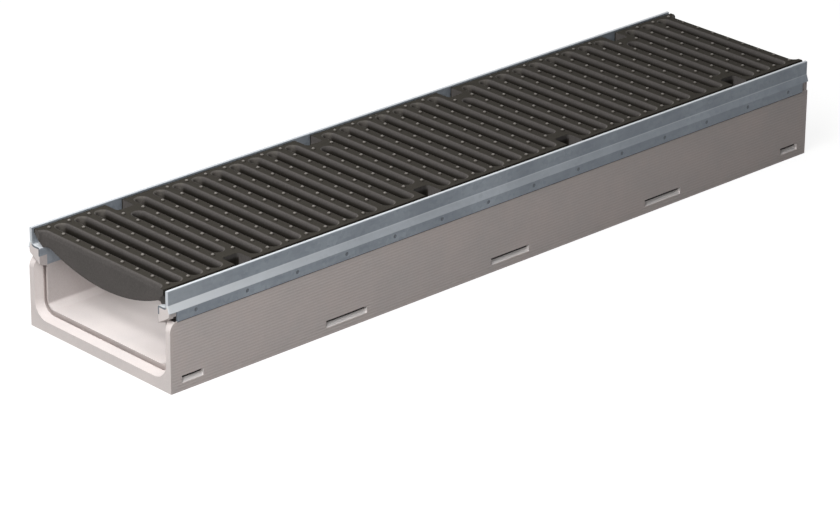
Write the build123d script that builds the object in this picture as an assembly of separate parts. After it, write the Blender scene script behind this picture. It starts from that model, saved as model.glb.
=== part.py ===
"""One metre of slot-grated drainage channel: trough, edge rails and two gratings.

X runs along the channel, from the socket end to the spigot end. Y runs across it.
Z is up, from the underside of the trough. Sizes are in millimetres.
"""

from build123d import *
import math
import os

# Trough, cast in fibre concrete
body_length = 1000.0
clear_width = 200.0
overall_height = 118.5
wall = 19.0
floor_thickness = 24.0
haunch_width = 9.0
haunch_height = 4.5
haunch_blend = 4.0

# Edge rails, one folded galvanised strip on each side
sheet = 2.0
seat_depth = 20.5
seat_width = 12.5
seat_corner_radius = 4.0
nose_radius = 2.0
rail_top_radius = 1.2
leg_height = 22.0
leg_height_at_ends = 10.0
shoulder_drop = 16.5
shoulder_height = 8.5
flange_height = 11.5
flange_proud = 0.6
rail_end_setback = 10.0
dimple_count = 14
dimple_radius = 4.0
dimple_depth = 0.9
dimple_drop = 30.0

# Socket at one end of the trough and spigot at the other
socket_depth = 10.0
rim_wall = 7.5
rim_floor = 13.0
rim_drop = 35.5
rim_corner_radius = 20.0
rim_nose_radius = 12.0
ledge_taper = 4.0
head_inner_drop = 40.5
head_outer_drop = 29.0
head_underside_fall = 3.2
seal_groove_depth = 6.0
seal_groove_undercut = 4.0
seal_groove_land = 0.5
seal_groove_corner_radius = 8.0
spigot_length = 8.5
joint_clearance = 1.0

# Wedge pockets low on both sides of the trough
pocket_base = 9.0
pocket_height = 8.5
pocket_depth = 6.5
pocket_back_wall = 3.0
pocket_long = 60.0
pocket_short = 30.0
pocket_end_distance = 30.0
pocket_end_draft = 1.5

# Gratings, cast in ductile iron
bar_count = 18
bar_top_width = 7.6
bar_edge_radius = 3.0
bar_wide_width = 14.2
bar_wide_drop = 7.0
bar_foot_width = 8.4
belly_depth = 39.5
foot_length = 18.5
grating_recess = 0.5
side_gap = 3.0
end_gap = 1.5
slot_end_margin = 5.5
grating_edge_radius = 1.2
grating_foot_chamfer = 2.5
notch_width = 24.0
notch_depth = 22.5
notch_corner_radius = 4.0
notch_bridge = 12.0
ear_relief_across = 10.3
ear_relief_along = 9.7
ear_relief_drop = 10.7
ear_tip_thickness = 4.3

# Studs on top of the bars
stud_rows = 9
stud_pitch = 25.0
stud_diameter = 5.0
stud_height = 2.2

# Slots and bars of one grating are numbered from its near end
NOTCHED_SLOT_NUMBERS = (4, 14)
BARE_BAR_NUMBERS_FRONT = (12, 13)
BARE_BAR_NUMBERS_BACK = (6,)

# Places that follow from the sizes above
near_x = -(body_length + spigot_length) / 2
far_x = near_x + body_length
leg_y = clear_width / 2
outer_y = leg_y + wall
plate_inner_y = leg_y + seat_width
plate_outer_y = plate_inner_y + 2 * sheet
flange_outer_y = outer_y + flange_proud
seat_z = overall_height - seat_depth
leg_bottom_z = seat_z - leg_height
shoulder_top_z = overall_height - shoulder_drop
shoulder_bottom_z = shoulder_top_z - shoulder_height
flange_bottom_z = shoulder_bottom_z - flange_height
rim_top_z = overall_height - rim_drop
grating_half_width = plate_inner_y - side_gap
grating_top_z = overall_height - grating_recess
bar_pitch = body_length / 2 / bar_count
grating_length = body_length / 2 - end_gap
SIDES = (-1, 1)

# How far a cutting tool runs past the face that it cuts
OVERRUN = 1.0

# Largest share of the rail's inner corner that its bend may take
INNER_BEND_SHARE = 0.95


def outline(corners, plane):
    """Return a face whose corners are (a, b, radius) on the given plane."""
    points = [plane.from_local_coords((a, b, 0)) for a, b, _ in corners]
    radii = [radius for _, _, radius in corners]
    return make_face(FilletPolyline(*points, radius=radii, close=True).edges())


def along_x(corners, start, end):
    """Extrude an outline in Y and Z from one X to another."""
    face = outline(corners, Plane.YZ.offset(start))
    return extrude(face, end - start, dir=(1, 0, 0))


def block(x, y, z):
    """Return a box from its (low, high) ranges on the three axes."""
    size = [high - low for low, high in (x, y, z)]
    low_corner = (x[0], y[0], z[0])
    return Pos(*low_corner) * Box(*size, align=Align.MIN)


def on_both_sides(solid):
    """Return a solid on the back side and its mirror image on the front side."""
    return [solid, mirror(solid, Plane.XZ)]


def shoulder_inner_points():
    """Return the inner top and bottom points of the sloped shoulder of the rail."""
    run = flange_outer_y - plate_outer_y
    drop = sheet * (math.hypot(run, shoulder_height) - shoulder_height) / run
    upper = (plate_outer_y - sheet, shoulder_top_z - drop)
    lower = (flange_outer_y - sheet, shoulder_bottom_z - drop)
    return upper, lower


def rail_section():
    """Section of the back rail: leg, seat, doubled plate, shoulder and flange."""
    upper, lower = shoulder_inner_points()
    bend_room = upper[1] - (seat_z - sheet)
    bend = min(seat_corner_radius + sheet / 2, INNER_BEND_SHARE * bend_room)
    return [
        (leg_y, leg_bottom_z, 0),
        (leg_y, seat_z, nose_radius),
        (plate_inner_y, seat_z, seat_corner_radius),
        (plate_inner_y, overall_height, rail_top_radius),
        (plate_outer_y, overall_height, rail_top_radius),
        (plate_outer_y, shoulder_top_z, 0),
        (flange_outer_y, shoulder_bottom_z, 0),
        (flange_outer_y, flange_bottom_z, 0),
        (flange_outer_y - sheet, flange_bottom_z, 0),
        (lower[0], lower[1], 0),
        (upper[0], upper[1], 0),
        (upper[0], seat_z - sheet, bend),
        (leg_y + sheet, seat_z - sheet, 0),
        (leg_y + sheet, leg_bottom_z, 0),
    ]


def edge_rail():
    """Folded rail of the back side, with short flange and leg at both ends."""
    rail = along_x(rail_section(), near_x, far_x)
    for low, high in ((near_x, near_x + rail_end_setback), (far_x - rail_end_setback, far_x)):
        flange_room = (flange_outer_y - sheet, flange_outer_y + sheet)
        rail -= block((low, high), flange_room, (flange_bottom_z, shoulder_bottom_z))
        leg_room = (leg_y, leg_y + sheet)
        rail -= block((low, high), leg_room, (leg_bottom_z, seat_z - leg_height_at_ends))
    ball_y = flange_outer_y + dimple_radius - dimple_depth
    step = body_length / dimple_count
    for number in range(dimple_count):
        place = Pos(near_x + (number + 0.5) * step, ball_y, overall_height - dimple_drop)
        rail -= place * Sphere(dimple_radius)
    return rail


def trough_section():
    """Half section of the trough on the back side, up into the rail's thickness."""
    upper, lower = shoulder_inner_points()
    middle_z = seat_z - sheet / 2
    middle_y = plate_inner_y + sheet / 2
    return [
        (0, 0, 0),
        (outer_y, 0, 0),
        (outer_y, flange_bottom_z, 0),
        (flange_outer_y - sheet, flange_bottom_z, 0),
        (lower[0], lower[1], 0),
        (upper[0], upper[1], 0),
        (middle_y, upper[1], 0),
        (middle_y, middle_z, seat_corner_radius),
        (leg_y + nose_radius, middle_z, 0),
        (leg_y, seat_z - nose_radius, 0),
        (leg_y, floor_thickness + haunch_height, haunch_blend),
        (leg_y - haunch_width, floor_thickness, haunch_blend),
        (0, floor_thickness, 0),
    ]


def full_section(start, end):
    """Trough section on both sides, extruded along X."""
    back, front = on_both_sides(along_x(trough_section(), start, end))
    return back + front


def under_head(head_x, start, end, clearance):
    """Space below the sloped underside of a head that begins at head_x, on both sides."""
    faces = []
    for x in (start, end):
        fall = head_underside_fall * (x - head_x) / socket_depth + clearance
        inner_z = overall_height - head_inner_drop - fall
        outer_z = overall_height - head_outer_drop - fall
        slope = (outer_z - inner_z) / wall
        reach = outer_y + wall
        section = [
            (-reach, -wall, 0),
            (reach, -wall, 0),
            (reach, inner_z + slope * (reach - leg_y), 0),
            (leg_y, inner_z, 0),
            (-leg_y, inner_z, 0),
            (-reach, inner_z + slope * (reach - leg_y), 0),
        ]
        faces.append(outline(section, Plane.YZ.offset(x)))
    return loft(faces, ruled=True)


def u_outline(x, half, base, radius):
    """Face of a tall U with rounded lower corners, at one X."""
    top = overall_height + wall
    corners = [(-half, base, radius), (half, base, radius), (half, top, 0), (-half, top, 0)]
    return outline(corners, Plane.YZ.offset(x))


def ledge_size(inset):
    """Half width, floor height and corner radius of the socket at an inset."""
    return outer_y - rim_wall - inset, rim_floor + inset, rim_corner_radius - inset


def tapered_bore(start, depth, shrink):
    """Rounded U opening that narrows and rises by the ledge taper over the socket depth."""
    mouth = u_outline(start, *ledge_size(shrink))
    throat = u_outline(start + depth, *ledge_size(shrink + ledge_taper * depth / socket_depth))
    return loft([mouth, throat], ruled=True)


def seal_groove():
    """V groove round the foot of the socket, undercut behind the edge of the clear opening."""
    start = near_x + socket_depth
    end = start + seal_groove_depth
    half = leg_y + seal_groove_land
    edge = u_outline(start, half, floor_thickness - seal_groove_land, seal_groove_corner_radius)
    throat = u_outline(start, *ledge_size(ledge_taper))
    bottom = u_outline(end, *ledge_size(ledge_taper - seal_groove_undercut))
    ring = loft([throat, bottom], ruled=True) - loft([edge, bottom], ruled=True)
    return ring & under_head(near_x, start, end, 0.0)


def socket_rim():
    """Thin outer rim of the socket, with a rounded nose at the top of each side."""
    depth = (near_x, near_x + socket_depth)
    rim = block(depth, (-outer_y, outer_y), (0, rim_top_z))
    rim -= tapered_bore(near_x, socket_depth, 0.0)
    nose_center_x = near_x + rim_nose_radius
    nose_center_z = rim_top_z - rim_nose_radius
    reach = outer_y + OVERRUN
    corner = block((near_x - OVERRUN, nose_center_x), (-reach, reach),
                   (nose_center_z, rim_top_z + OVERRUN))
    rounding = Rot(90, 0, 0) * Cylinder(rim_nose_radius, 2 * outer_y + 4 * OVERRUN)
    return rim - (corner - Pos(nose_center_x, 0, nose_center_z) * rounding)


def spigot():
    """Tapered tongue that enters the socket of the next channel."""
    tongue = full_section(far_x, far_x + spigot_length)
    tongue &= tapered_bore(far_x, spigot_length, joint_clearance)
    return tongue & under_head(far_x, far_x, far_x + spigot_length, joint_clearance)


def wedge_pocket(x, length):
    """Wedge cut into the back wall: flat overhang, low back wall, floor that slopes outward."""
    outer = outer_y + OVERRUN
    inner = outer_y - pocket_depth
    top = pocket_base + pocket_height
    rise = (pocket_height - pocket_back_wall) / pocket_depth * OVERRUN
    section = [
        (outer, pocket_base - rise, 0),
        (outer, top, 0),
        (inner, top, 0),
        (inner, top - pocket_back_wall, 0),
    ]
    wedge = along_x(section, x - length / 2, x + length / 2)
    for side in SIDES:
        trim = block((0, length), (-2 * pocket_depth, 2 * pocket_depth), (0, 2 * pocket_height))
        if side < 0:
            trim = mirror(trim, Plane.YZ)
        lean = math.degrees(math.atan(pocket_end_draft / pocket_depth))
        place = Pos(x + side * length / 2, outer_y, pocket_base - pocket_height / 2)
        wedge -= place * Rot(0, 0, side * lean) * trim
    return wedge


def pockets():
    """All wedge pockets of both sides: a short one near each end, long ones between."""
    cuts = []
    for quarter in range(5):
        length = pocket_long
        x = near_x + body_length * quarter / 4
        if quarter in (0, 4):
            length = pocket_short
            x += pocket_end_distance if quarter == 0 else -pocket_end_distance
        cuts += on_both_sides(wedge_pocket(x, length))
    return cuts


def channel_body(rails):
    """Cast trough, moulded round the rails."""
    body = full_section(near_x + socket_depth, far_x)
    head = full_section(near_x, near_x + socket_depth)
    body += head - under_head(near_x, near_x, near_x + socket_depth, 0.0)
    body += socket_rim()
    body += spigot()
    for cut in [seal_groove()] + pockets() + rails:
        body -= cut
    return body


def slot_profile():
    """Half profile of a slot in X and Z: rounded lip, flank, then a web that opens downward."""
    top = grating_top_z
    wide_z = top - bar_wide_drop
    foot_z = top - belly_depth - OVERRUN
    lip_x = (bar_pitch - bar_top_width) / 2
    wide_x = (bar_pitch - bar_wide_width) / 2
    foot_x = (bar_pitch - bar_foot_width) / 2
    rise = wide_z - (top - bar_edge_radius)
    lean = math.acos(bar_edge_radius / math.hypot(lip_x - wide_x, rise))
    lean -= math.atan2(-rise, lip_x - wide_x)
    bend = [(lip_x - bar_edge_radius * math.cos(angle),
             top - bar_edge_radius + bar_edge_radius * math.sin(angle))
            for angle in (lean, (lean + math.pi / 2) / 2)]
    points = [Plane.XZ.from_local_coords((x, z, 0)) for x, z in (
        (lip_x, top), (lip_x, top + OVERRUN), (0, top + OVERRUN), (0, foot_z),
        (foot_x, foot_z), (wide_x, wide_z), bend[0])]
    middle = Plane.XZ.from_local_coords((*bend[1], 0))
    edges = Polyline(*points).edges() + [ThreePointArc(points[-1], middle, points[0])]
    return make_face(edges)


def slot_cutter(half_length):
    """Slot tool at X = 0, with round ends."""
    profile = slot_profile()
    straight = half_length - (bar_pitch - bar_top_width) / 2
    half_run = extrude(Pos(0, straight, 0) * profile, 2 * straight, dir=(0, -1, 0))
    round_end = revolve(profile, Axis.Z, 360)
    cutter = half_run + mirror(half_run, Plane.YZ)
    cutter += [Pos(0, straight, 0) * round_end, Pos(0, -straight, 0) * round_end]
    return cutter


def grating_blank(start, end):
    """Solid fish-belly blank with flat feet that lie on the rail seats."""
    width = grating_half_width
    foot = width - foot_length
    chamfer = grating_foot_chamfer
    upper = [
        (foot, seat_z),
        (width - chamfer, seat_z),
        (width, seat_z + chamfer),
        (width, grating_top_z),
        (-width, grating_top_z),
        (-width, seat_z + chamfer),
        (-width + chamfer, seat_z),
        (-foot, seat_z),
    ]
    plane = Plane.YZ.offset(start)
    points = [plane.from_local_coords((y, z, 0)) for y, z in upper]
    radii = [0, 0, grating_edge_radius, grating_edge_radius, 0, 0]
    lowest = plane.from_local_coords((0, grating_top_z - belly_depth, 0))
    edges = FilletPolyline(*points, radius=radii).edges()
    edges += [ThreePointArc(points[-1], lowest, points[0])]
    return extrude(make_face(edges), end - start, dir=(1, 0, 0))


def ear_relief(tip_x, inward):
    """Half space under the outer corner of an ear, cut by one slanting plane."""
    tip = Vector(tip_x, grating_half_width, grating_top_z - ear_tip_thickness)
    across = Vector(0, -ear_relief_across, -ear_relief_drop)
    along = Vector(inward * ear_relief_along, 0, seat_z - tip.Z)
    normal = across.cross(along).normalized()
    if normal.Z > 0:
        normal = -normal
    face = Plane(origin=tip, z_dir=normal) * Rectangle(2 * foot_length, 2 * foot_length)
    return extrude(face, foot_length)


def notch(x):
    """Open notch in the back edge of a grating, centred on a slot."""
    inner = grating_half_width - notch_depth
    outer = grating_half_width + side_gap
    corners = [
        (x - notch_width / 2, inner, notch_corner_radius),
        (x + notch_width / 2, inner, notch_corner_radius),
        (x + notch_width / 2, outer, 0),
        (x - notch_width / 2, outer, 0),
    ]
    base = Plane.XY.offset(grating_top_z - belly_depth)
    return extrude(outline(corners, base), belly_depth + OVERRUN, dir=(0, 0, 1))


def stud_places(start):
    """X and Y of each stud; bars beside a notch and the bare patches have none at the edge."""
    outer_row = (stud_rows - 1) // 2
    beside_notch = [slot + side for slot in NOTCHED_SLOT_NUMBERS for side in (0, 1)]
    bare_back = beside_notch + list(BARE_BAR_NUMBERS_BACK)
    bare_front = beside_notch + list(BARE_BAR_NUMBERS_FRONT)
    places = []
    for bar in range(1, bar_count + 1):
        x = start - end_gap / 2 + (bar - 0.5) * bar_pitch
        for row in range(-outer_row, outer_row + 1):
            if row == outer_row and bar in bare_back:
                continue
            if row == -outer_row and bar in bare_front:
                continue
            places.append((x, row * stud_pitch))
    return places


def stud():
    """Low dome at the origin, whose lower part sinks into the bar."""
    radius = ((stud_diameter / 2) ** 2 + stud_height ** 2) / (2 * stud_height)
    return Pos(0, 0, stud_height - radius) * Sphere(radius)


def grating(start):
    """One cast grating whose near end is at the given X."""
    end = start + grating_length
    first_slot = start - end_gap / 2
    casting = grating_blank(start, end)
    long_cutter = slot_cutter(grating_half_width - slot_end_margin)
    short_cutter = slot_cutter(grating_half_width - notch_depth - notch_bridge)
    for number in range(bar_count + 1):
        cutter = short_cutter if number in NOTCHED_SLOT_NUMBERS else long_cutter
        casting -= Pos(first_slot + number * bar_pitch, 0, 0) * cutter
    for number in NOTCHED_SLOT_NUMBERS:
        for cut in on_both_sides(notch(first_slot + number * bar_pitch)):
            casting -= cut
    for tip_x, inward in ((start, 1), (end, -1)):
        for cut in on_both_sides(ear_relief(tip_x, inward)):
            casting -= cut
    dome = stud()
    return casting + [Pos(x, y, grating_top_z) * dome for x, y in stud_places(start)]


if __name__ == "__main__":
    os.makedirs("parts", exist_ok=True)
    back_rail, front_rail = on_both_sides(edge_rail())
    export_step(back_rail, "parts/edge_rail_back.step")
    export_step(front_rail, "parts/edge_rail_front.step")
    export_step(channel_body([back_rail, front_rail]), "parts/channel_body.step")
    export_step(grating(near_x + end_gap / 2), "parts/grating_near.step")
    export_step(grating(near_x + body_length / 2 + end_gap / 2), "parts/grating_far.step")
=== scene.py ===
"""Looks of a one metre channel drain: concrete trough, galvanised edge rails, iron gratings.

Everything is in metres, in the same frame as the solids. X runs along the channel from the
socket end to the spigot end, Y across it, and Z up from the ground.
"""

import math

import bpy
from bpy.props import FloatProperty, FloatVectorProperty, PointerProperty
from mathutils import Matrix, Vector


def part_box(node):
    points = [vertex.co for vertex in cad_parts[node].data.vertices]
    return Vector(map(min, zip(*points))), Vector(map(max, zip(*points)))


bl_info = {
    "name": "Channel drain",
    "version": (1, 0, 0),
    "blender": (4, 5, 0),
    "location": "3D View > Sidebar > Channel drain",
    "description": "Finishes for a concrete channel drain with steel edge rails and iron gratings",
    "category": "Object",
}

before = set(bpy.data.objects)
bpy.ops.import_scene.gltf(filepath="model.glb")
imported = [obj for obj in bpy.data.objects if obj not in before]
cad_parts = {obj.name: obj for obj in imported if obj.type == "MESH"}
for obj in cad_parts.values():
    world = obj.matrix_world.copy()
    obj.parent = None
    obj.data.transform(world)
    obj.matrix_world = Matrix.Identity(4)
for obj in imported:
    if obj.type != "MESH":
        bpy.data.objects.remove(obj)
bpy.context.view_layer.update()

MM = 0.001
PHOTO_WIDTH = 840

# Trough
SIDE_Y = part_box("channel_body")[1][1]
INNER_Y = 100.0 * MM
HAUNCH_TOP_Z = 28.5 * MM
SOCKET_DEPTH = 10.0 * MM
RIM_TOP_Z = 83.0 * MM
POCKET_DEPTH = 6.5 * MM
POCKET_LOW_Z = 9.0 * MM
POCKET_HIGH_Z = 17.5 * MM

# Painted shade on the trough: in the pockets' back corners, and behind the heads over the socket's
# rim
POCKET_SHADE_DEPTH = 1.7 * MM
HEAD_SHADE_DEPTH = 4.0 * MM
HEAD_SHADE_LOW_Z = RIM_TOP_Z - 0.9 * MM
HEAD_SHADE_HIGH_Z = RIM_TOP_Z + 5.0 * MM

# Rails
RAIL_LOW, RAIL_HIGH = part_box("edge_rail_back")
MIDDLE_X = (RAIL_LOW[0] + RAIL_HIGH[0]) / 2
HALF_LENGTH = (RAIL_HIGH[0] - RAIL_LOW[0]) / 2
RAIL_TOP_Z = RAIL_HIGH[2]
FLANGE_Y = RAIL_HIGH[1]
PLATE_INNER_Y = 112.5 * MM
PLATE_CORE_Y = PLATE_INNER_Y + 1.5 * MM
SEAT_Z = 98.0 * MM
SHOULDER_TOP_Z = 102.0 * MM
SHOULDER_BOTTOM_Z = 93.5 * MM
FLANGE_BOTTOM_Z = 82.0 * MM
DIMPLE_DEPTH = 0.9 * MM
PLATE_HIGHLIGHT_LENGTH = 110.0 * MM

# Gratings
GRATING_SIDE_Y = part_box("grating_near")[1][1]
GRATING_MIDDLE = HALF_LENGTH / 2
SLOT_END_Y = GRATING_SIDE_Y - 5.5 * MM
BAR_TOP_Z = 118.0 * MM
BAR_COUNT = 36
BAR_PITCH = 1000.0 * MM / BAR_COUNT
NOTCH_FROM_MIDDLE = 5 * BAR_PITCH
NOTCH_DEPTH = 22.5 * MM
NOTCH_WIDTH = 24.0 * MM


def srgb(hex_colour):
    """Linear colour of an sRGB hex value such as 8F867F, by the standard's own curve."""
    channels = [int(hex_colour[i:i + 2], 16) / 255 for i in (0, 2, 4)]
    return tuple(c / 12.92 if c <= 0.04045 else ((c + 0.055) / 1.055) ** 2.4
                 for c in channels) + (1.0,)


def add_node(tree, kind, settings=None, inputs=None):
    """Add a node with its settings; each input is a value or the socket that feeds it."""
    node = tree.nodes.new(kind)
    for name, value in (settings or {}).items():
        setattr(node, name, value)
    for name, source in (inputs or {}).items():
        if isinstance(source, bpy.types.NodeSocket):
            tree.links.new(source, node.inputs[name])
        else:
            node.inputs[name].default_value = source
    return node


def surface(name):
    """New material with a Principled shader, returned with its tree and shader."""
    material = bpy.data.materials.new(name)
    material.use_nodes = True
    return material, material.node_tree, material.node_tree.nodes["Principled BSDF"]


def away(tree, measure, middle):
    """Distance of a measure from a value, on either side of it."""
    offset = add_node(tree, "ShaderNodeMath", {"operation": "SUBTRACT"}, {0: measure, 1: middle})
    size = add_node(tree, "ShaderNodeMath", {"operation": "ABSOLUTE"}, {0: offset.outputs[0]})
    return size.outputs[0]


def part_places(tree):
    """Place in the part, its X, the distances from the middle along and across, and the height."""
    place = add_node(tree, "ShaderNodeTexCoord").outputs["Object"]
    axes = add_node(tree, "ShaderNodeSeparateXYZ", inputs={"Vector": place}).outputs
    along = away(tree, axes["X"], MIDDLE_X)
    across = away(tree, axes["Y"], 0.0)
    return place, axes["X"], along, across, axes["Z"]


def bands(tree, measure, stops):
    """Factor that follows a measure through (measure, factor) stops, from low to high."""
    low, high = stops[0][0], stops[-1][0]
    share = add_node(tree, "ShaderNodeMapRange", inputs={
        "Value": measure, "From Min": low, "From Max": high})
    ramp = add_node(tree, "ShaderNodeValToRGB", inputs={"Fac": share.outputs[0]})
    marks = ramp.color_ramp.elements
    while len(marks) < len(stops):
        marks.new(position=0.5)
    for mark, (at, factor) in zip(marks, stops):
        mark.position = (at - low) / (high - low)
        mark.color = (factor, factor, factor, 1.0)
    return ramp.outputs["Color"]


def window(tree, measure, low, high, blend):
    """Factor that is 1 between two limits and fades to 0 outside them."""
    return bands(tree, measure, [(low - blend, 0.0), (low, 1.0), (high, 1.0), (high + blend, 0.0)])


def both(tree, *factors):
    """Product of factors, so each of them has to hold."""
    product = factors[0]
    for factor in factors[1:]:
        node = add_node(tree, "ShaderNodeMath", {"operation": "MULTIPLY"}, {0: product, 1: factor})
        product = node.outputs[0]
    return product


def layered(tree, base, layers):
    """Colour built from a base and (factor, colour) layers, each over the ones before it."""
    for factor, colour in layers:
        base = add_node(tree, "ShaderNodeMixRGB", inputs={
            "Fac": factor, "Color1": base, "Color2": colour}).outputs[0]
    return base


def cast_concrete(settings):
    """Fibre concrete from a steel mould: matt, faintly clouded, with fine pores and mould ribs."""
    material, tree, shader = surface("Cast fibre concrete")
    place, x, along, across, height = part_places(tree)

    # Clouds a few fingers wide keep the walls from looking like plastic. The sand grains are
    # drawn some three times too coarse, because finer ones would blur into one tone.
    clouds = add_node(tree, "ShaderNodeTexNoise", inputs={
        "Vector": place, "Scale": 1 / settings.cloud_size, "Detail": 4.0, "Roughness": 0.6})
    grit = add_node(tree, "ShaderNodeTexNoise", inputs={
        "Vector": place, "Scale": 1 / settings.grit_size, "Detail": 3.0, "Roughness": 0.7})

    # The outer sides are a touch warmer than the rest, with a thin painted shadow line under the
    # rail
    outside = bands(tree, across, [(SIDE_Y - 0.3 * MM, 0.0), (SIDE_Y - 0.1 * MM, 1.0)])
    between_ends = bands(tree, along, [
        (HALF_LENGTH - SOCKET_DEPTH - 0.5 * MM, 1.0), (HALF_LENGTH - SOCKET_DEPTH, 0.0)])
    rail_shadow_line = window(
        tree, height, FLANGE_BOTTOM_Z - 0.8 * MM, FLANGE_BOTTOM_Z, blend=0.3 * MM)

    # The pockets read as pale scoops with a black line along the back: a painted highlight on their
    # floors and a painted shadow in their back corners
    pocket_back = SIDE_Y - POCKET_DEPTH
    in_pocket = both(
        tree, between_ends,
        window(tree, across, pocket_back - 0.2 * MM, SIDE_Y - 0.4 * MM, blend=0.2 * MM),
        window(tree, height, POCKET_LOW_Z - 0.3 * MM, POCKET_HIGH_Z + 0.3 * MM, blend=0.2 * MM))
    pocket_shadow = bands(tree, across, [
        (pocket_back + POCKET_SHADE_DEPTH, 1.0),
        (pocket_back + POCKET_SHADE_DEPTH + 0.4 * MM, 0.0)])

    # Painted shadow: the gap behind the head is coloured black, as no light gets in there
    socket_foot = RAIL_LOW[0] + SOCKET_DEPTH
    head_shadow = both(
        tree,
        window(tree, x, socket_foot - HEAD_SHADE_DEPTH, socket_foot + 0.2 * MM, blend=0.1 * MM),
        window(tree, across, INNER_Y + 0.5 * MM, SIDE_Y - 0.4 * MM, blend=0.2 * MM),
        window(tree, height, HEAD_SHADE_LOW_Z, HEAD_SHADE_HIGH_Z, blend=0.2 * MM))

    # The walls inside get painted shade, greyer than the floor, which sets the two apart
    inner_wall = both(
        tree,
        window(tree, across, INNER_Y - 0.5 * MM, INNER_Y + 0.5 * MM, blend=0.3 * MM),
        bands(tree, height, [(HAUNCH_TOP_Z, 0.0), (HAUNCH_TOP_Z + 2 * MM, 1.0)]))

    tone = layered(tree, settings.colour, [
        (outside, settings.side_colour),
        (bands(tree, clouds.outputs["Fac"], [(0.3, 0.8), (0.7, 0.0)]), settings.cloud_colour),
        (both(tree, outside, between_ends, rail_shadow_line), settings.painted_shade_colour),
        (in_pocket, settings.pocket_highlight_colour),
        (both(tree, in_pocket, pocket_shadow), settings.painted_shade_colour),
        (head_shadow, settings.painted_shade_colour),
        (both(tree, inner_wall, settings.inner_wall_shade_share), settings.inner_wall_shadow_colour),
    ])
    speckle = add_node(tree, "ShaderNodeMixRGB", {"blend_type": "OVERLAY"}, {
        "Fac": settings.grit_contrast, "Color1": tone, "Color2": grit.outputs["Fac"]})
    tree.links.new(speckle.outputs[0], shader.inputs["Base Color"])
    shader.inputs["Roughness"].default_value = 0.86
    shader.inputs["Specular IOR Level"].default_value = 0.3

    # Faint level ribs on the outer sides, and pores that break up the shine everywhere
    turn = add_node(tree, "ShaderNodeMath", {"operation": "MULTIPLY"}, {
        0: height, 1: 2 * math.pi / settings.rib_pitch})
    wave = add_node(tree, "ShaderNodeMath", {"operation": "SINE"}, {0: turn.outputs[0]})
    ribs = add_node(tree, "ShaderNodeBump", inputs={
        "Height": both(tree, wave.outputs[0], outside), "Strength": 1.0,
        "Distance": settings.rib_depth})
    pores = add_node(tree, "ShaderNodeBump", inputs={
        "Height": grit.outputs["Fac"], "Normal": ribs.outputs["Normal"], "Strength": 0.35,
        "Distance": settings.pore_depth})
    tree.links.new(pores.outputs["Normal"], shader.inputs["Normal"])
    return material


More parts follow.
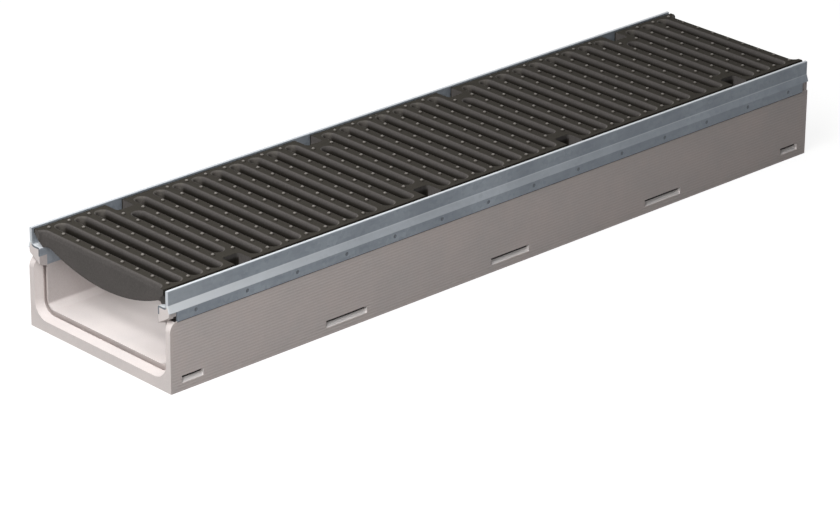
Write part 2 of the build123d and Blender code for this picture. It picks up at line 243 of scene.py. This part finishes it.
def galvanised_steel(settings):
    """Hot-dipped zinc on folded strip: blue-grey crystals, with painted highlights on folds, edges
    and shoulders.
    """
    material, tree, shader = surface("Hot-dip galvanised steel")
    place, x, along, across, height = part_places(tree)

    # Zinc crystals, each of its own tone, crossed by streaks that are drawn out along the
    # strip, and wide patches where the zinc has dulled
    spangle = add_node(tree, "ShaderNodeTexVoronoi", {"feature": "F1"}, {
        "Vector": place, "Scale": 1 / settings.spangle_size, "Randomness": 1.0})
    crystals = add_node(tree, "ShaderNodeSeparateColor", inputs={"Color": spangle.outputs["Color"]})
    rolled = add_node(tree, "ShaderNodeMapping", inputs={
        "Vector": place, "Scale": (1 / settings.streak_stretch, 1.0, 1.0)})
    streaks = add_node(tree, "ShaderNodeTexNoise", inputs={
        "Vector": rolled.outputs[0], "Scale": 1 / settings.streak_size, "Detail": 3.0})
    patches = add_node(tree, "ShaderNodeTexNoise", inputs={
        "Vector": place, "Scale": 1 / settings.patch_size, "Detail": 2.0})
    streaked = bands(tree, streaks.outputs["Fac"], [(0.3, 0.2), (0.7, 0.5)])
    dulled = bands(tree, patches.outputs["Fac"], [(0.4, 0.0), (0.6, 0.6)])

    # The two faces of the upright plate lie on either side of its core
    outside = bands(tree, across, [(PLATE_CORE_Y, 0.0), (PLATE_CORE_Y + 0.2 * MM, 1.0)])
    on_inside = bands(tree, across, [(PLATE_CORE_Y - 0.2 * MM, 1.0), (PLATE_CORE_Y, 0.0)])
    above_seat = bands(tree, height, [(SEAT_Z + 0.2 * MM, 0.0), (SEAT_Z + 1.0 * MM, 1.0)])

    # Painted light: the shoulder is a pale stripe that fades from the socket end to the spigot
    # end, and the plate is a little brighter near the socket end. Top edge, folds, seats and
    # ends get painted highlights too.
    on_shoulder = window(
        tree, height, SHOULDER_BOTTOM_Z + 0.5 * MM, SHOULDER_TOP_Z - 0.3 * MM, blend=0.6 * MM)
    on_fold = window(tree, height, SHOULDER_TOP_Z - 0.6 * MM, SHOULDER_TOP_Z, blend=0.4 * MM)
    on_seat = window(tree, height, SEAT_Z - 0.5 * MM, SEAT_Z + 0.5 * MM, blend=1.2 * MM)
    on_edge = bands(tree, height, [(RAIL_TOP_Z - 0.7 * MM, 0.0), (RAIL_TOP_Z - 0.2 * MM, 1.0)])
    cut_end = bands(tree, along, [(HALF_LENGTH - 0.3 * MM, 0.0), (HALF_LENGTH - 0.1 * MM, 1.0)])
    light_fade = bands(tree, x, [
        (RAIL_LOW[0], 1.0), (RAIL_LOW[0] + HALF_LENGTH / 2, 0.36), (RAIL_HIGH[0], 0.02)])
    socket_end = bands(tree, x, [(RAIL_LOW[0], 0.2), (RAIL_LOW[0] + PLATE_HIGHLIGHT_LENGTH, 0.0)])

    # Painted shade: the dimples are small dark dots on the flange
    dimple_bottom = FLANGE_Y - DIMPLE_DEPTH
    in_dimple = both(
        tree,
        window(tree, across, dimple_bottom - 0.3 * MM, FLANGE_Y - 0.2 * MM, blend=0.1 * MM),
        window(tree, height, FLANGE_BOTTOM_Z + 1 * MM, SHOULDER_BOTTOM_Z - 1 * MM, blend=0.3 * MM))

    light = settings.zinc_highlight_colour
    tone = layered(tree, settings.colour, [
        (both(tree, crystals.outputs[0], streaked), settings.dark_colour),
        (dulled, settings.dark_colour),
        (both(tree, above_seat, socket_end), light),
        (both(tree, outside, on_shoulder, light_fade), light),
        (both(tree, outside, on_fold, settings.fold_highlight), light),
        (both(tree, on_inside, on_seat), light),
        (both(tree, on_edge, settings.edge_highlight), light),
        # Painted shadow on the cut ends of leg and seat
        (both(tree, cut_end, on_inside), settings.zinc_shadow_colour),
        (both(tree, cut_end, above_seat, settings.end_highlight), light),
        (in_dimple, settings.zinc_shadow_colour),
    ])
    tree.links.new(tone, shader.inputs["Base Color"])
    shader.inputs["Metallic"].default_value = 0.2
    gloss = add_node(tree, "ShaderNodeMapRange", inputs={
        "Value": streaks.outputs["Fac"], "To Min": 0.5, "To Max": 0.68})
    tree.links.new(gloss.outputs[0], shader.inputs["Roughness"])
    grain = add_node(tree, "ShaderNodeBump", inputs={
        "Height": streaks.outputs["Fac"], "Strength": 0.1, "Distance": settings.streak_depth})
    tree.links.new(grain.outputs["Normal"], shader.inputs["Normal"])
    return material


def dipped_iron(settings):
    """Ductile iron from a sand mould, dipped black: matt tops in painted shade, satin flanks, bare
    studs with a painted highlight.
    """
    material, tree, shader = surface("Black dipped ductile iron")
    place, _, along, across, height = part_places(tree)

    # The skin of a sand casting, and patches where the dip ran thin. The sand grains are drawn
    # several times too coarse, because real ones would not show at all.
    sand = add_node(tree, "ShaderNodeTexNoise", inputs={
        "Vector": place, "Scale": 1 / settings.grain_size, "Detail": 3.0, "Roughness": 0.65})
    clouds = add_node(tree, "ShaderNodeTexNoise", inputs={
        "Vector": place, "Scale": 1 / settings.cloud_size, "Detail": 3.0})

    # The bars' round upper flanks show the grey coat, and painted shade below them parts the bars
    upper_flank = bands(tree, height, [
        (BAR_TOP_Z - 8.5 * MM, 0.0),
        (BAR_TOP_Z - 6.5 * MM, 0.12),
        (BAR_TOP_Z - 5.5 * MM, 0.3),
        (BAR_TOP_Z - 4.5 * MM, 0.6),
        (BAR_TOP_Z - 3.5 * MM, 0.85),
        (BAR_TOP_Z - 2.5 * MM, 1.0),
    ])

    # The coat shows on the end webs and in the notches too, free of painted shade, and the slots'
    # round ends get a painted highlight
    on_end = bands(tree, along, [
        (HALF_LENGTH - BAR_PITCH / 2, 0.0), (HALF_LENGTH - BAR_PITCH / 2 + 0.5 * MM, 1.0)])
    slot_ends = bands(tree, across, [(SLOT_END_Y - 8 * MM, 0.0), (SLOT_END_Y - 4 * MM, 0.8)])
    from_notch = away(tree, away(tree, along, GRATING_MIDDLE), NOTCH_FROM_MIDDLE)
    notch_back = GRATING_SIDE_Y - NOTCH_DEPTH
    notch_sides = both(
        tree,
        bands(tree, from_notch, [(NOTCH_WIDTH / 2, 1.0), (NOTCH_WIDTH / 2 + 1 * MM, 0.0)]),
        bands(tree, across, [(notch_back + 1 * MM, 0.0), (notch_back + 2 * MM, 1.0)]))

    # Painted shade makes the tops darker than the flanks; the studs on them are pale from wear
    # and a painted highlight, and painted shade makes the long sides black, so that a black line
    # runs between the grating and the rail
    long_side = bands(tree, across, [
        (GRATING_SIDE_Y - 1.8 * MM, 0.0), (GRATING_SIDE_Y - 1.2 * MM, 1.0)])
    on_top = bands(tree, height, [(BAR_TOP_Z - 0.35 * MM, 0.0), (BAR_TOP_Z - 0.05 * MM, 1.0)])
    on_studs = bands(tree, height, [(BAR_TOP_Z + 0.8 * MM, 0.0), (BAR_TOP_Z + 2.0 * MM, 1.0)])
    coat = layered(tree, settings.colour, [(clouds.outputs["Fac"], settings.thin_colour)])
    tone = layered(tree, settings.slot_shadow_colour, [
        (upper_flank, coat),
        (slot_ends, settings.slot_end_highlight_colour),
        (on_end, coat),
        (notch_sides, coat),
        (on_top, settings.painted_top_shade),
        (long_side, settings.slot_shadow_colour),
        (on_studs, settings.stud_wear_and_highlight_colour),
    ])
    speckle = add_node(tree, "ShaderNodeMixRGB", {"blend_type": "OVERLAY"}, {
        "Fac": settings.grain_contrast, "Color1": tone, "Color2": sand.outputs["Fac"]})
    tree.links.new(speckle.outputs[0], shader.inputs["Base Color"])

    # Satin flanks and worn studs, with matt tops between them
    gloss = bands(tree, height, [
        (BAR_TOP_Z - 0.35 * MM, 0.5), (BAR_TOP_Z, 0.8), (BAR_TOP_Z + 0.3 * MM, 0.8),
        (BAR_TOP_Z + 1.2 * MM, 0.35)])
    tree.links.new(gloss, shader.inputs["Roughness"])
    shader.inputs["Specular IOR Level"].default_value = 0.03
    bump = add_node(tree, "ShaderNodeBump", inputs={
        "Height": sand.outputs["Fac"], "Strength": 0.35, "Distance": settings.grain_depth})
    tree.links.new(bump.outputs["Normal"], shader.inputs["Normal"])
    return material


def seen_rays(tree):
    """Socket that is 1 for what the eye, a gloss or a pane shows, and 0 for the light itself."""
    rays = add_node(tree, "ShaderNodeLightPath").outputs
    eye_or_gloss = add_node(tree, "ShaderNodeMath", {"operation": "MAXIMUM"}, {
        0: rays["Is Camera Ray"], 1: rays["Is Glossy Ray"]})
    return add_node(tree, "ShaderNodeMath", {"operation": "MAXIMUM"}, {
        0: eye_or_gloss.outputs[0], 1: rays["Is Transmission Ray"]}).outputs[0]


def soft_sky(tree, strength):
    """White to the eye and to reflections, and an even soft light on everything."""
    level = add_node(tree, "ShaderNodeMapRange", inputs={
        "Value": seen_rays(tree), "To Min": strength, "To Max": 1.0})
    background = tree.nodes["Background"]
    background.inputs["Color"].default_value = srgb("FFFFFF")
    tree.links.new(level.outputs[0], background.inputs["Strength"])


def studio_floor(settings):
    """Pale paper sweep, white to the eye and to reflections, which keeps the drain's shadow."""
    material, tree, shader = surface("Pale studio floor")
    tree.nodes.remove(shader)
    paper = add_node(tree, "ShaderNodeBsdfDiffuse", inputs={"Color": settings.floor_colour})
    strength = add_node(tree, "ShaderNodeMath", {"operation": "MULTIPLY"}, {
        0: seen_rays(tree), 1: settings.floor_glow})
    glow = add_node(tree, "ShaderNodeEmission", inputs={"Strength": strength.outputs[0]})
    lit = add_node(tree, "ShaderNodeAddShader", inputs={0: paper.outputs[0], 1: glow.outputs[0]})
    tree.links.new(lit.outputs[0], tree.nodes["Material Output"].inputs["Surface"])
    return material


def dress(node, material):
    """Give a solid of the frame its finish."""
    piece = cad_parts[node]
    for slot in piece.material_slots:
        slot.material = material
    if not piece.material_slots:
        piece.data.materials.append(material)


def add_lamp(name, power, size, place, aim):
    """Add a square area lamp that faces the aim point, and return its object."""
    lamp = bpy.data.lights.new(name, "AREA")
    lamp.energy = power
    lamp.size = size
    holder = bpy.data.objects.new(name, lamp)
    bpy.context.scene.collection.objects.link(holder)
    holder.location = place
    holder.rotation_euler = (Vector(place) - Vector(aim)).to_track_quat("Z", "Y").to_euler()
    return holder


def add_floor(settings):
    """Add the paper sweep that the drain lies on."""
    reach = settings.floor_reach
    corners = [(-reach, -reach, 0), (reach, -reach, 0), (reach, reach, 0), (-reach, reach, 0)]
    mesh = bpy.data.meshes.new("Floor")
    mesh.from_pydata(corners, [], [(0, 1, 2, 3)])
    mesh.materials.append(studio_floor(settings))
    floor = bpy.data.objects.new("Floor", mesh)
    bpy.context.scene.collection.objects.link(floor)


def add_camera(settings):
    """Add the camera at the photograph's place and focal length."""
    data = bpy.data.cameras.new("Camera")
    data.sensor_fit = "HORIZONTAL"
    data.lens = settings.focal_pixels / PHOTO_WIDTH * data.sensor_width
    camera = bpy.data.objects.new("Camera", data)
    bpy.context.scene.collection.objects.link(camera)
    azimuth, elevation = settings.camera_azimuth, settings.camera_elevation
    back = Vector((math.sin(azimuth) * math.cos(elevation),
                   -math.cos(azimuth) * math.cos(elevation), math.sin(elevation)))
    roll = Matrix.Rotation(settings.camera_roll, 3, "Z")
    turn = back.to_track_quat("Z", "Y").to_matrix() @ roll
    place = Vector(settings.camera_aim) + back * settings.camera_distance
    camera.matrix_world = Matrix.Translation(place) @ turn.to_4x4()
    bpy.context.scene.camera = camera


class ConcreteFinish(bpy.types.PropertyGroup):
    """Sizes and colours of the trough's concrete."""

    colour: FloatVectorProperty(
        name="Concrete colour", description="Colour of dry fibre concrete",
        subtype="COLOR", size=4, min=0, max=1, default=srgb("DED5D2"))
    side_colour: FloatVectorProperty(
        name="Side colour", description="Colour of the ribbed outer sides",
        subtype="COLOR", size=4, min=0, max=1, default=srgb("DED2CE"))
    cloud_colour: FloatVectorProperty(
        name="Cloud colour", description="Colour of the faint darker clouds",
        subtype="COLOR", size=4, min=0, max=1, default=srgb("D2CBC9"))
    # Painted highlight: pale colour on the pockets' floors
    pocket_highlight_colour: FloatVectorProperty(
        name="Pocket highlight colour", description="Painted highlight on the pockets' floors",
        subtype="COLOR", size=4, min=0, max=1, default=srgb("F8F3F1"))
    # Painted shade on the inner walls
    inner_wall_shadow_colour: FloatVectorProperty(
        name="Inner wall shade colour", description="Painted shade on the walls inside the trough",
        subtype="COLOR", size=4, min=0, max=1, default=srgb("BEB6B4"))
    # Painted shade, laid dark in the pockets' corners, behind the heads and under the rail
    painted_shade_colour: FloatVectorProperty(
        name="Painted shade colour", description="Painted shade in deep corners and under the rail",
        subtype="COLOR", size=4, min=0, max=1, default=srgb("2E2928"))
    cloud_size: FloatProperty(
        name="Cloud size", description="Width of the faint tone clouds", unit="LENGTH",
        default=60 * MM)
    grit_size: FloatProperty(
        name="Grit size", description="Width of sand grains, drawn coarse enough to show",
        unit="LENGTH", default=1.6 * MM)
    rib_pitch: FloatProperty(
        name="Rib pitch", description="Height of one mould rib on the sides", unit="LENGTH",
        default=3.5 * MM)
    rib_depth: FloatProperty(
        name="Rib depth", description="How far the mould ribs stand out", unit="LENGTH",
        default=0.07 * MM)
    pore_depth: FloatProperty(
        name="Pore depth", description="How deep the pores between the grains are", unit="LENGTH",
        default=0.15 * MM)
    grit_contrast: FloatProperty(
        name="Grit contrast", description="How strongly the grains mottle the colour",
        subtype="FACTOR", min=0, max=1, default=0.16)
    # Share of the painted shade on the inner walls
    inner_wall_shade_share: FloatProperty(
        name="Inner wall shade", description="Share of painted shade on the inner walls",
        subtype="FACTOR", min=0, max=1, default=0.85)


class SteelFinish(bpy.types.PropertyGroup):
    """Sizes and colours of the edge rails' zinc."""

    colour: FloatVectorProperty(
        name="Zinc colour", description="Colour of fresh zinc crystals",
        subtype="COLOR", size=4, min=0, max=1, default=srgb("A1A9B2"))
    dark_colour: FloatVectorProperty(
        name="Dark zinc colour", description="Colour of dull zinc crystals",
        subtype="COLOR", size=4, min=0, max=1, default=srgb("7A828C"))
    # Painted highlight for the shoulders, folds, seats, top edges and cut ends
    zinc_highlight_colour: FloatVectorProperty(
        name="Zinc highlight colour", description="Painted highlight on the zinc's shoulders, folds, seats, edges and ends",
        subtype="COLOR", size=4, min=0, max=1, default=srgb("DCE0E4"))
    # Painted shade in the dimples and on the cut ends of leg and seat
    zinc_shadow_colour: FloatVectorProperty(
        name="Zinc shade colour",
        description="Painted shade in the dimples and on the cut ends of leg and seat",
        subtype="COLOR", size=4, min=0, max=1, default=srgb("6A7077"))
    spangle_size: FloatProperty(
        name="Spangle size", description="Width of a zinc crystal", unit="LENGTH", default=5 * MM)
    streak_size: FloatProperty(
        name="Streak size", description="Width of rolling streaks", unit="LENGTH", default=4 * MM)
    streak_stretch: FloatProperty(
        name="Streak stretch", description="How many times longer than wide a streak is",
        default=20 / 3)
    streak_depth: FloatProperty(
        name="Streak depth", description="How deep the streaks are", unit="LENGTH",
        default=0.1 * MM)
    patch_size: FloatProperty(
        name="Patch size", description="Width of duller patches along the rail", unit="LENGTH",
        default=140 * MM)
    # Painted highlight on the fold above the shoulder
    fold_highlight: FloatProperty(
        name="Fold highlight", description="Share of painted highlight on the fold above the shoulder",
        subtype="FACTOR", min=0, max=1, default=0.3)
    # Painted highlight on the plates' top edges
    edge_highlight: FloatProperty(
        name="Edge highlight", description="Share of painted highlight on the plates' top edges",
        subtype="FACTOR", min=0, max=1, default=0.8)
    # Painted highlight on the plates' cut ends
    end_highlight: FloatProperty(
        name="End highlight", description="Share of painted highlight on the plates' cut ends",
        subtype="FACTOR", min=0, max=1, default=0.6)


class IronFinish(bpy.types.PropertyGroup):
    """Sizes and colours of the gratings' dipped iron."""

    colour: FloatVectorProperty(
        name="Dip colour", description="Colour of the black dip coat",
        subtype="COLOR", size=4, min=0, max=1, default=srgb("53504E"))
    thin_colour: FloatVectorProperty(
        name="Thin dip colour", description="Colour where the coat is thin",
        subtype="COLOR", size=4, min=0, max=1, default=srgb("5C5856"))
    slot_end_highlight_colour: FloatVectorProperty(
        name="Slot end highlight colour", description="Painted highlight at the round ends of the slots",
        subtype="COLOR", size=4, min=0, max=1, default=srgb("64605B"))
    # Painted shade low in the slots and on the grating's long sides
    slot_shadow_colour: FloatVectorProperty(
        name="Slot shade colour", description="Painted shade low in the slots and along the long sides",
        subtype="COLOR", size=4, min=0, max=1, default=srgb("272420"))
    # Painted shade on the flat tops of the bars
    painted_top_shade: FloatVectorProperty(
        name="Top shade colour", description="Painted shade on the flat tops of the bars",
        subtype="COLOR", size=4, min=0, max=1, default=srgb("3C3934"))
    # Worn coat and a painted highlight on the studs
    stud_wear_and_highlight_colour: FloatVectorProperty(
        name="Stud colour", description="Worn coat and painted highlight on the studs",
        subtype="COLOR", size=4, min=0, max=1, default=srgb("88837E"))
    grain_size: FloatProperty(
        name="Grain size", description="Width of moulding sand grains, drawn coarse enough to show",
        unit="LENGTH", default=2.0 * MM)
    grain_depth: FloatProperty(
        name="Grain depth", description="How far the sand grains stand out", unit="LENGTH",
        default=0.12 * MM)
    grain_contrast: FloatProperty(
        name="Grain contrast", description="How strongly the grains mottle the colour",
        subtype="FACTOR", min=0, max=1, default=0.3)
    cloud_size: FloatProperty(
        name="Cloud size", description="Width of patches of thinner coat", unit="LENGTH",
        default=30 * MM)


class StageSettings(bpy.types.PropertyGroup):
    """Floor, lamps and camera."""

    floor_colour: FloatVectorProperty(
        name="Floor colour", description="Colour of the paper sweep",
        subtype="COLOR", size=4, min=0, max=1, default=srgb("8C8C8B"))
    floor_glow: FloatProperty(
        name="Floor glow", description="White added to the floor as the eye sees it", default=0.88)
    floor_reach: FloatProperty(
        name="Floor reach", description="From the drain to the edge of the sweep", unit="LENGTH",
        default=12.0)
    sky_strength: FloatProperty(
        name="Sky strength", description="Even light from all round", default=0.04)
    key_power: FloatProperty(
        name="Key power", description="Power of the large lamp off the socket end",
        subtype="POWER", default=36.0)
    top_power: FloatProperty(
        name="Top power", description="Power of the lamp above the socket end",
        subtype="POWER", default=22.0)
    front_power: FloatProperty(
        name="Front power", description="Power of the low lamp before the long side",
        subtype="POWER", default=2.0)
    back_power: FloatProperty(
        name="Back power", description="Power of the lamp behind the spigot end",
        subtype="POWER", default=10.0)
    inner_power: FloatProperty(
        name="Inner power", description="Power of the fill that lights the inside of the trough",
        subtype="POWER", default=0.225)
    camera_aim: FloatVectorProperty(
        name="Camera aim", description="What the middle of the photograph looks at",
        subtype="TRANSLATION", unit="LENGTH", default=(-0.16225, -0.1377, 0.0589))
    camera_distance: FloatProperty(
        name="Camera distance", description="From the aim point to the camera", unit="LENGTH",
        default=4.364)
    camera_azimuth: FloatProperty(
        name="Camera azimuth", description="Turn round the drain", subtype="ANGLE",
        default=math.radians(-43.39))
    camera_elevation: FloatProperty(
        name="Camera elevation", description="Height above the horizon", subtype="ANGLE",
        default=math.radians(23.90))
    camera_roll: FloatProperty(
        name="Camera roll", description="Turn about the line of sight", subtype="ANGLE",
        default=math.radians(0.45))
    focal_pixels: FloatProperty(
        name="Focal length in pixels", description="In the photograph's own pixels",
        default=3967.0)


class DRAIN_OT_trough(bpy.types.Operator):
    """Finish the concrete trough"""

    bl_idname = "drain.trough"
    bl_label = "Concrete trough"

    def execute(self, context):
        dress("channel_body", cast_concrete(context.scene.drain_concrete))
        return {"FINISHED"}


class DRAIN_OT_rails(bpy.types.Operator):
    """Finish the two galvanised edge rails"""

    bl_idname = "drain.rails"
    bl_label = "Edge rails"

    def execute(self, context):
        zinc = galvanised_steel(context.scene.drain_steel)
        dress("edge_rail_front", zinc)
        dress("edge_rail_back", zinc)
        return {"FINISHED"}


class DRAIN_OT_gratings(bpy.types.Operator):
    """Finish the two iron gratings"""

    bl_idname = "drain.gratings"
    bl_label = "Gratings"

    def execute(self, context):
        iron = dipped_iron(context.scene.drain_iron)
        dress("grating_near", iron)
        dress("grating_far", iron)
        return {"FINISHED"}


class DRAIN_OT_stage(bpy.types.Operator):
    """Add the floor, the lamps, the sky and the camera"""

    bl_idname = "drain.stage"
    bl_label = "Studio stage"

    def execute(self, context):
        settings = context.scene.drain_stage
        socket_end = (-0.5, 0, 0.08)
        front_side = (-0.35, -0.1, 0.06)
        middle = (0.1, 0, 0.06)
        add_floor(settings)
        add_lamp("Key", settings.key_power, size=1.4, place=(-1.95, -0.7, 1.58), aim=socket_end)
        add_lamp("Top", settings.top_power, size=1.2, place=(-1.1, 0.1, 1.7), aim=socket_end)
        add_lamp("Front", settings.front_power, size=0.6, place=(-0.75, -1.3, 0.65), aim=front_side)
        add_lamp("Back", settings.back_power, size=1.4, place=(1.3, 1.7, 1.1), aim=middle)

        # A strip of light just under the gratings keeps the inside of the trough from going dark
        fill = add_lamp(
            "Inner fill", settings.inner_power, size=0.9, place=(-0.05, 0, 0.077),
            aim=(-0.05, 0, 0))
        fill.data.shape = "RECTANGLE"
        fill.data.size_y = 0.1
        fill.visible_camera = False
        fill.visible_glossy = False

        world = bpy.data.worlds.new("Soft sky")
        world.use_nodes = True
        soft_sky(world.node_tree, settings.sky_strength)
        context.scene.world = world
        add_camera(settings)
        context.scene.view_settings.view_transform = "Standard"
        return {"FINISHED"}


class DRAIN_PT_panel(bpy.types.Panel):
    """Lists the steps of the channel drain."""

    bl_idname = "DRAIN_PT_panel"
    bl_label = "Channel drain"
    bl_space_type = "VIEW_3D"
    bl_region_type = "UI"
    bl_category = "Channel drain"

    def draw(self, context):
        for operator in OPERATORS:
            self.layout.operator(operator.bl_idname)


OPERATORS = (DRAIN_OT_trough, DRAIN_OT_rails, DRAIN_OT_gratings, DRAIN_OT_stage)
GROUPS = {
    "drain_concrete": ConcreteFinish,
    "drain_steel": SteelFinish,
    "drain_iron": IronFinish,
    "drain_stage": StageSettings,
}


def register():
    """Register the classes, and give each scene its settings."""
    for group in GROUPS.values():
        bpy.utils.register_class(group)
    for operator in OPERATORS:
        bpy.utils.register_class(operator)
    bpy.utils.register_class(DRAIN_PT_panel)
    for name, group in GROUPS.items():
        setattr(bpy.types.Scene, name, PointerProperty(type=group))


def unregister():
    """Take back what register added, in the opposite order."""
    for name in GROUPS:
        delattr(bpy.types.Scene, name)
    bpy.utils.unregister_class(DRAIN_PT_panel)
    for operator in reversed(OPERATORS):
        bpy.utils.unregister_class(operator)
    for group in reversed(GROUPS.values()):
        bpy.utils.unregister_class(group)


def main():
    """Finish the drain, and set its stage."""
    register()
    bpy.ops.drain.trough()
    bpy.ops.drain.rails()
    bpy.ops.drain.gratings()
    bpy.ops.drain.stage()


if __name__ == "__main__":
    main()
